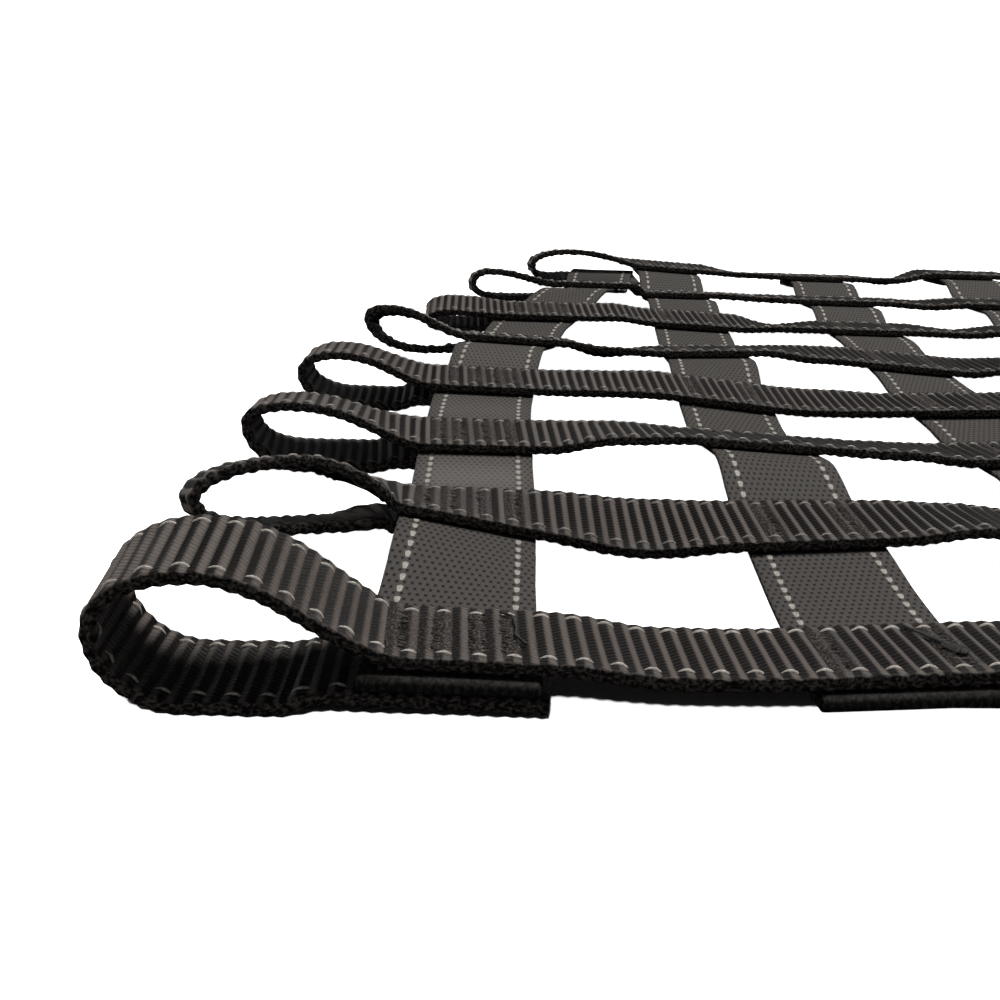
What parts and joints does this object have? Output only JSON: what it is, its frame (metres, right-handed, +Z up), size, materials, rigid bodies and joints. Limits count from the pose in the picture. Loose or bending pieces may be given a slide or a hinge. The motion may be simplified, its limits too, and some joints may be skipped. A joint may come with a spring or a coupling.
{
  "type": "window safety net",
  "caption": "Window safety net of ribbed webbing straps sewn across flat webbing straps in an open grid, with rod loops along two sides, lying loosely on a flat surface.",
  "frame": {"origin": "centre of the net in plan, on the surface that it lies on", "axes": "+X along the row straps, +Y along the cross straps away from row strap 1, +Z up from the surface"},
  "size_m": [0.449, 0.4822, 0.0219],
  "materials": {
    "row_webbing": "matte ribbed weave",
    "cross_webbing": "matte plain weave"
  },
  "bodies": {
    "root": {"row_strap_1": "row_webbing", "row_strap_2": "row_webbing", "row_strap_3": "row_webbing", "row_strap_4": "row_webbing", "row_strap_5": "row_webbing", "row_strap_6": "row_webbing", "row_strap_7": "row_webbing", "row_strap_8": "row_webbing", "cross_strap_1": "cross_webbing", "cross_strap_2": "cross_webbing", "cross_strap_3": "cross_webbing", "cross_strap_4": "cross_webbing", "cross_strap_5": "cross_webbing", "cross_strap_6": "cross_webbing"}
  },
  "joints": []
}
